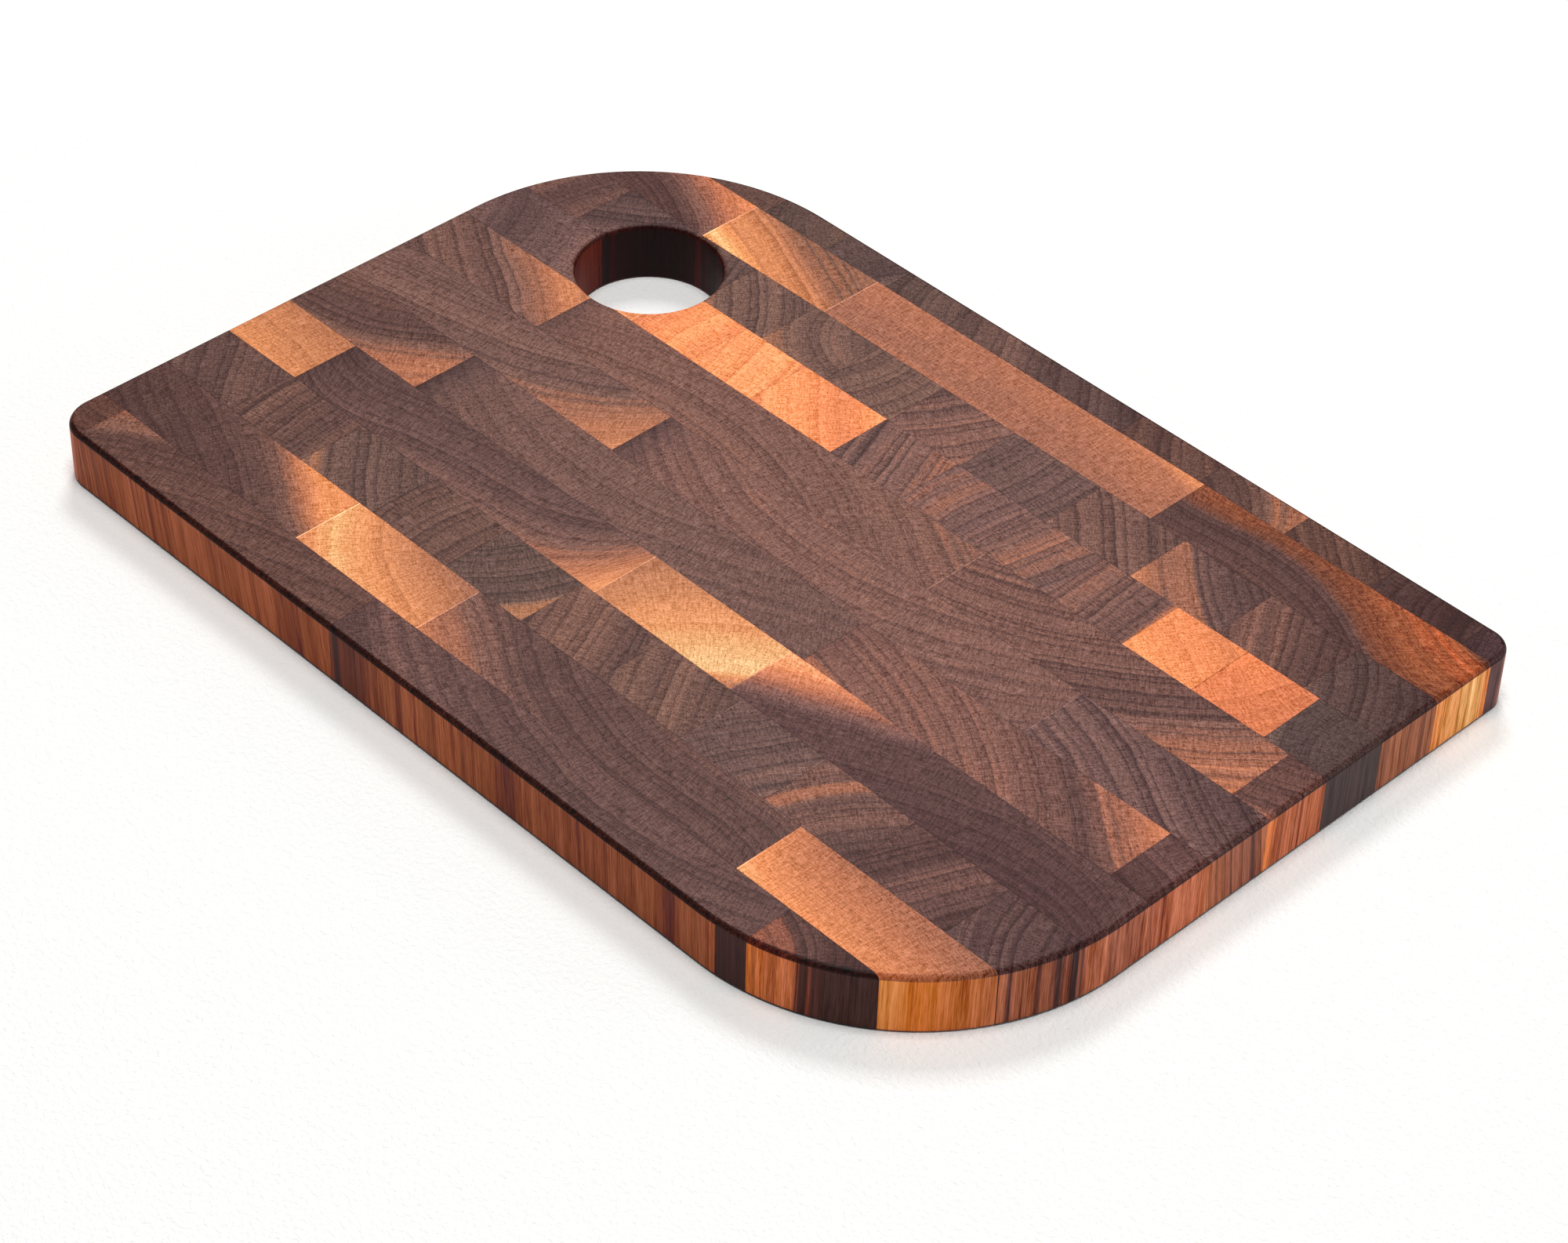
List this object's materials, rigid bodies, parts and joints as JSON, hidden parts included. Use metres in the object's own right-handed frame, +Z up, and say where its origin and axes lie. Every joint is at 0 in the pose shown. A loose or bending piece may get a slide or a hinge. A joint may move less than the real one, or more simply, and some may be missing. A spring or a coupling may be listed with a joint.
{
  "type": "end-grain cutting board",
  "caption": "Flat end-grain walnut cutting board with two opposite corners widely rounded, eased edges and a round through hole near one corner for lifting or hanging.",
  "frame": {"origin": "middle of the board's underside, on the surface it lies on", "axes": "+X along the board's long side, +Y across it towards the side near the hole, +Z up out of the cutting surface"},
  "size_m": [0.4, 0.27, 0.0225],
  "materials": {
    "walnut_heartwood": "oiled end-grain heartwood, purple brown",
    "walnut_dark_heartwood": "oiled end-grain heartwood, blackish brown",
    "walnut_streaked": "oiled end grain with heartwood and sapwood streaks",
    "walnut_sapwood": "oiled end-grain sapwood, tan",
    "walnut_amber": "oiled end grain, reddish amber"
  },
  "bodies": {
    "root": {"strip_a_block_01": "walnut_dark_heartwood", "strip_a_block_02": "walnut_heartwood", "strip_a_block_03": "walnut_heartwood", "strip_a_block_04": "walnut_dark_heartwood", "strip_b_block_01": "walnut_streaked", "strip_b_block_02": "walnut_sapwood", "strip_b_block_03": "walnut_amber", "strip_b_block_04": "walnut_streaked", "strip_c_block_01": "walnut_heartwood", "strip_c_block_02": "walnut_heartwood", "strip_c_block_03": "walnut_heartwood", "strip_c_block_04": "walnut_heartwood", "strip_c_block_05": "walnut_heartwood", "strip_c_block_06": "walnut_dark_heartwood", "strip_c_block_07": "walnut_heartwood", "strip_c_block_08": "walnut_streaked", "strip_c_block_09": "walnut_heartwood", "strip_c_block_10": "walnut_dark_heartwood", "strip_d_block_01": "walnut_heartwood", "strip_d_block_02": "walnut_sapwood", "strip_d_block_03": "walnut_sapwood", "strip_d_block_04": "walnut_sapwood", "strip_d_block_05": "walnut_heartwood", "strip_d_block_06": "walnut_streaked", "strip_d_block_07": "walnut_heartwood", "strip_d_block_08": "walnut_sapwood", "strip_d_block_09": "walnut_amber", "strip_d_block_10": "walnut_dark_heartwood", "strip_e_block_01": "walnut_streaked", "strip_e_block_02": "walnut_heartwood", "strip_e_block_03": "walnut_streaked", "strip_e_block_04": "walnut_dark_heartwood", "strip_f_block_01": "walnut_streaked", "strip_f_block_02": "walnut_heartwood", "strip_f_block_03": "walnut_dark_heartwood", "strip_g_block_01": "walnut_streaked", "strip_g_block_02": "walnut_heartwood", "strip_g_block_03": "walnut_streaked", "strip_g_block_04": "walnut_dark_heartwood", "strip_h_block_01": "walnut_sapwood", "strip_h_block_02": "walnut_streaked", "strip_h_block_03": "walnut_sapwood", "strip_h_block_04": "walnut_streaked", "strip_i_block_01": "walnut_dark_heartwood", "strip_i_block_02": "walnut_heartwood", "strip_i_block_03": "walnut_heartwood", "strip_i_block_04": "walnut_heartwood", "strip_i_block_05": "walnut_heartwood", "strip_i_block_06": "walnut_heartwood", "strip_i_block_07": "walnut_streaked", "strip_i_block_08": "walnut_streaked", "strip_i_block_09": "walnut_dark_heartwood", "strip_j_block_01": "walnut_streaked", "strip_j_block_02": "walnut_sapwood", "strip_j_block_03": "walnut_streaked", "strip_j_block_04": "walnut_amber", "strip_k_block_01": "walnut_heartwood", "strip_k_block_02": "walnut_heartwood", "strip_k_block_03": "walnut_dark_heartwood", "strip_k_block_04": "walnut_heartwood"}
  },
  "joints": []
}
